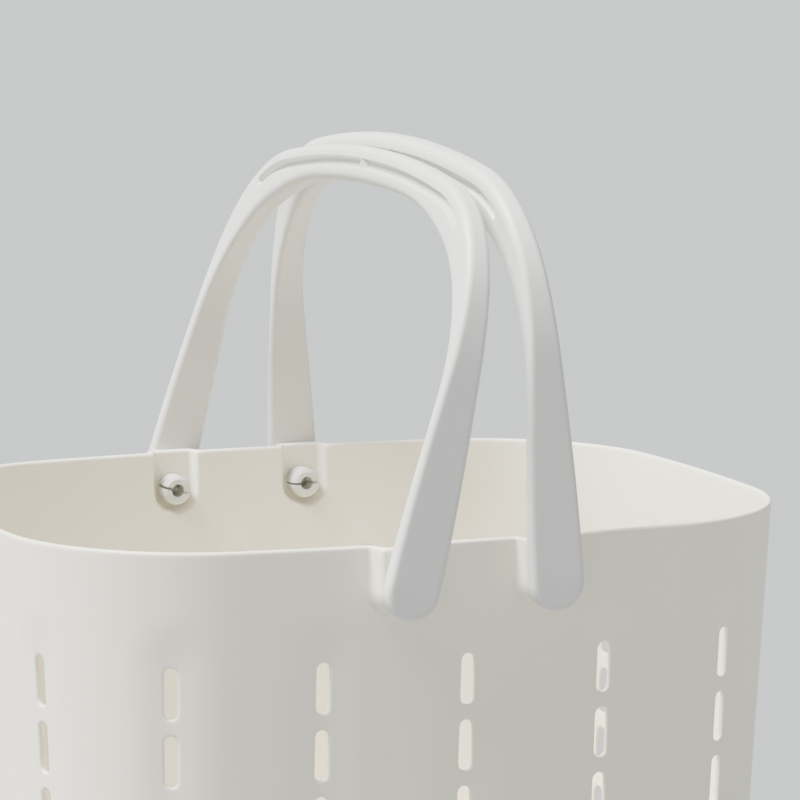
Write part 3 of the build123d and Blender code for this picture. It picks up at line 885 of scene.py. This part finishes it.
def plastic(name, tint, roughness, grain):
    """A satin moulded plastic of one tint, a little light passing under its surface."""
    grain_size, waviness = grain
    group = bpy.data.node_groups.get("moulded_grain") or grain_group()
    material = bpy.data.materials.new(name)
    material.use_nodes = True
    nodes, links = material.node_tree.nodes, material.node_tree.links
    shader = nodes["Principled BSDF"]
    shader.inputs["IOR"].default_value = 1.49
    shader.inputs["Subsurface Weight"].default_value = 0.12
    shader.inputs["Subsurface Radius"].default_value = (1.0, 0.9, 0.7)
    shader.inputs["Subsurface Scale"].default_value = 2.0 * MM
    finish = nodes.new("ShaderNodeGroup")
    finish.node_tree = group
    finish.inputs["Colour"].default_value = (*tint, 1.0)
    finish.inputs["Shade"].default_value = (*(SHADE_SHARE * channel for channel in tint), 1.0)
    finish.inputs["Roughness"].default_value = roughness
    finish.inputs["Grain size"].default_value = grain_size
    finish.inputs["Waviness"].default_value = waviness
    bump = nodes.new("ShaderNodeBump")
    bump.inputs["Strength"].default_value = 0.12
    bump.inputs["Distance"].default_value = 0.05 * MM
    links.new(finish.outputs["Colour"], shader.inputs["Base Color"])
    links.new(finish.outputs["Roughness"], shader.inputs["Roughness"])
    links.new(finish.outputs["Height"], bump.inputs["Height"])
    links.new(bump.outputs["Normal"], shader.inputs["Normal"])
    return material


def give_material(thing, material):
    """Make the material the thing's only one."""
    thing.data.materials.clear()
    thing.data.materials.append(material)


# ---- stage ----
FLOOR_RADIUS, FLOOR_STEPS = 30.0, 64
KEY_DIRECTION = (-0.50, 0.06, 0.866)     # from the caddy towards the light
SKY = (0.95, 0.97, 1.0, 1.0)
SENSOR_WIDTH = 36.0          # millimetres
CAMERA_REACH = 100.0         # metres, beyond the floor's far edge


def add_key(direction, size, power):
    """A broad, even key light that shines from a direction."""
    light = bpy.data.lights.new("key", "SUN")
    light.angle = size
    light.energy = power
    lamp = bpy.data.objects.new("key", light)
    lamp.location = Vector(direction)
    lamp.rotation_euler = lamp.location.to_track_quat("Z", "Y").to_euler()
    bpy.context.scene.collection.objects.link(lamp)


def camera_frame(stage):
    """The camera's place, from its angles round the target: columns right, up and backward."""
    turn, rise, roll = stage.azimuth, stage.elevation, stage.roll
    level = math.cos(rise)
    ahead = Vector((math.sin(turn) * level, math.cos(turn) * level, -math.sin(rise)))
    right = Vector((math.cos(turn), -math.sin(turn), 0.0))
    up = right.cross(ahead)
    x_axis = math.cos(roll) * right + math.sin(roll) * up
    y_axis = -math.sin(roll) * right + math.cos(roll) * up
    placed = Matrix((x_axis, y_axis, -ahead)).transposed().to_4x4()
    placed.translation = Vector(stage.target) - stage.distance * ahead
    return placed


# ---- operators ----
class CADDY_OT_tub(bpy.types.Operator):
    """Build the slotted tub over the frame's shell"""

    bl_idname = "caddy.tub"
    bl_label = "Tub"

    def execute(self, context):
        scene = context.scene
        tub = build_mesh("tub", tub_parts(scene.caddy_tub))
        look = scene.caddy_plastic
        give_material(tub, plastic("tub_satin_plastic", look.tub, look.roughness, TUB_GRAIN))
        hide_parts("basket_shell")
        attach(tub, "tub")
        return {"FINISHED"}


class CADDY_OT_handles(bpy.types.Operator):
    """Build the two strap handles as they lean together"""

    bl_idname = "caddy.handles"
    bl_label = "Handles"

    def execute(self, context):
        handle, look = context.scene.caddy_handle, context.scene.caddy_plastic
        finish = plastic("handle_satin_plastic", look.handles, look.roughness, HANDLE_GRAIN)
        for name, lean in (("left", resting_lean(handle)), ("right", -handle.right_lean)):
            strap = build_mesh(f"{name}_strap_handle", handle_parts(handle, PIVOTS[name], lean))
            give_material(strap, finish)
            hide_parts(f"{name}_handle")
            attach(strap, f"{name}_handle")
        return {"FINISHED"}


class CADDY_OT_studs(bpy.types.Operator):
    """Give the frame's four snap studs the handles' finish"""

    bl_idname = "caddy.studs"
    bl_label = "Snap studs"

    def execute(self, context):
        look = context.scene.caddy_plastic
        finish = plastic("stud_satin_plastic", look.handles, look.roughness, HANDLE_GRAIN)
        for name, node in frame["nodes"].items():
            if name.endswith("_snap_stud"):
                give_material(node, finish)
        return {"FINISHED"}


class CADDY_OT_stage(bpy.types.Operator):
    """Set out the floor, the soft lights and the camera"""

    bl_idname = "caddy.stage"
    bl_label = "Stage"

    def execute(self, context):
        scene, stage = context.scene, context.scene.caddy_stage
        turn = np.linspace(0, 2 * math.pi, FLOOR_STEPS + 1)[:-1]
        rim = np.stack([np.cos(turn), np.sin(turn), 0 * turn], axis=1) * FLOOR_RADIUS
        mesh = bpy.data.meshes.new("floor")
        mesh.from_pydata(rim.tolist(), [], [list(range(len(rim)))])
        floor = bpy.data.objects.new("floor", mesh)
        scene.collection.objects.link(floor)
        surface = bpy.data.materials.new("floor_matt_paint")
        surface.use_nodes = True
        shader = surface.node_tree.nodes["Principled BSDF"]
        shader.inputs["Base Color"].default_value = (*stage.floor, 1.0)
        shader.inputs["Roughness"].default_value = 0.9
        shader.inputs["Specular IOR Level"].default_value = 0.1
        give_material(floor, surface)

        world = bpy.data.worlds.new("studio")
        scene.world = world
        world.use_nodes = True
        backing = world.node_tree.nodes["Background"]
        backing.inputs["Color"].default_value = SKY
        backing.inputs["Strength"].default_value = stage.ambient
        add_key(KEY_DIRECTION, stage.key_size, stage.key_power)

        camera = bpy.data.objects.new("camera", bpy.data.cameras.new("camera"))
        camera.data.lens = stage.lens
        camera.data.sensor_width = SENSOR_WIDTH
        camera.data.clip_end = CAMERA_REACH
        camera.matrix_world = camera_frame(stage)
        scene.collection.objects.link(camera)
        scene.camera = camera
        return {"FINISHED"}


class CADDY_PT_panel(bpy.types.Panel):
    """Lists the caddy's pieces and its stage"""

    bl_idname = "CADDY_PT_panel"
    bl_label = "Shower caddy"
    bl_space_type = "VIEW_3D"
    bl_region_type = "UI"
    bl_category = "Shower caddy"

    def draw(self, context):
        for operator in OPERATORS:
            self.layout.operator(operator.bl_idname)


OPERATORS = (CADDY_OT_tub, CADDY_OT_handles, CADDY_OT_studs, CADDY_OT_stage)
SETTINGS = {
    "caddy_tub": TubSettings, "caddy_handle": HandleSettings,
    "caddy_plastic": PlasticSettings, "caddy_stage": StageSettings,
}
CLASSES = (*SETTINGS.values(), *OPERATORS, CADDY_PT_panel)


def register():
    """Register every class and hang the settings on the scene."""
    for cls in CLASSES:
        bpy.utils.register_class(cls)
    for name, group in SETTINGS.items():
        setattr(bpy.types.Scene, name, bpy.props.PointerProperty(type=group))


def unregister():
    """Take the settings and classes away again."""
    for name in SETTINGS:
        delattr(bpy.types.Scene, name)
    for cls in reversed(CLASSES):
        bpy.utils.unregister_class(cls)


def main():
    """Build every piece and the stage."""
    register()
    bpy.ops.caddy.tub()
    bpy.ops.caddy.handles()
    bpy.ops.caddy.studs()
    bpy.ops.caddy.stage()


if __name__ == "__main__":
    main()
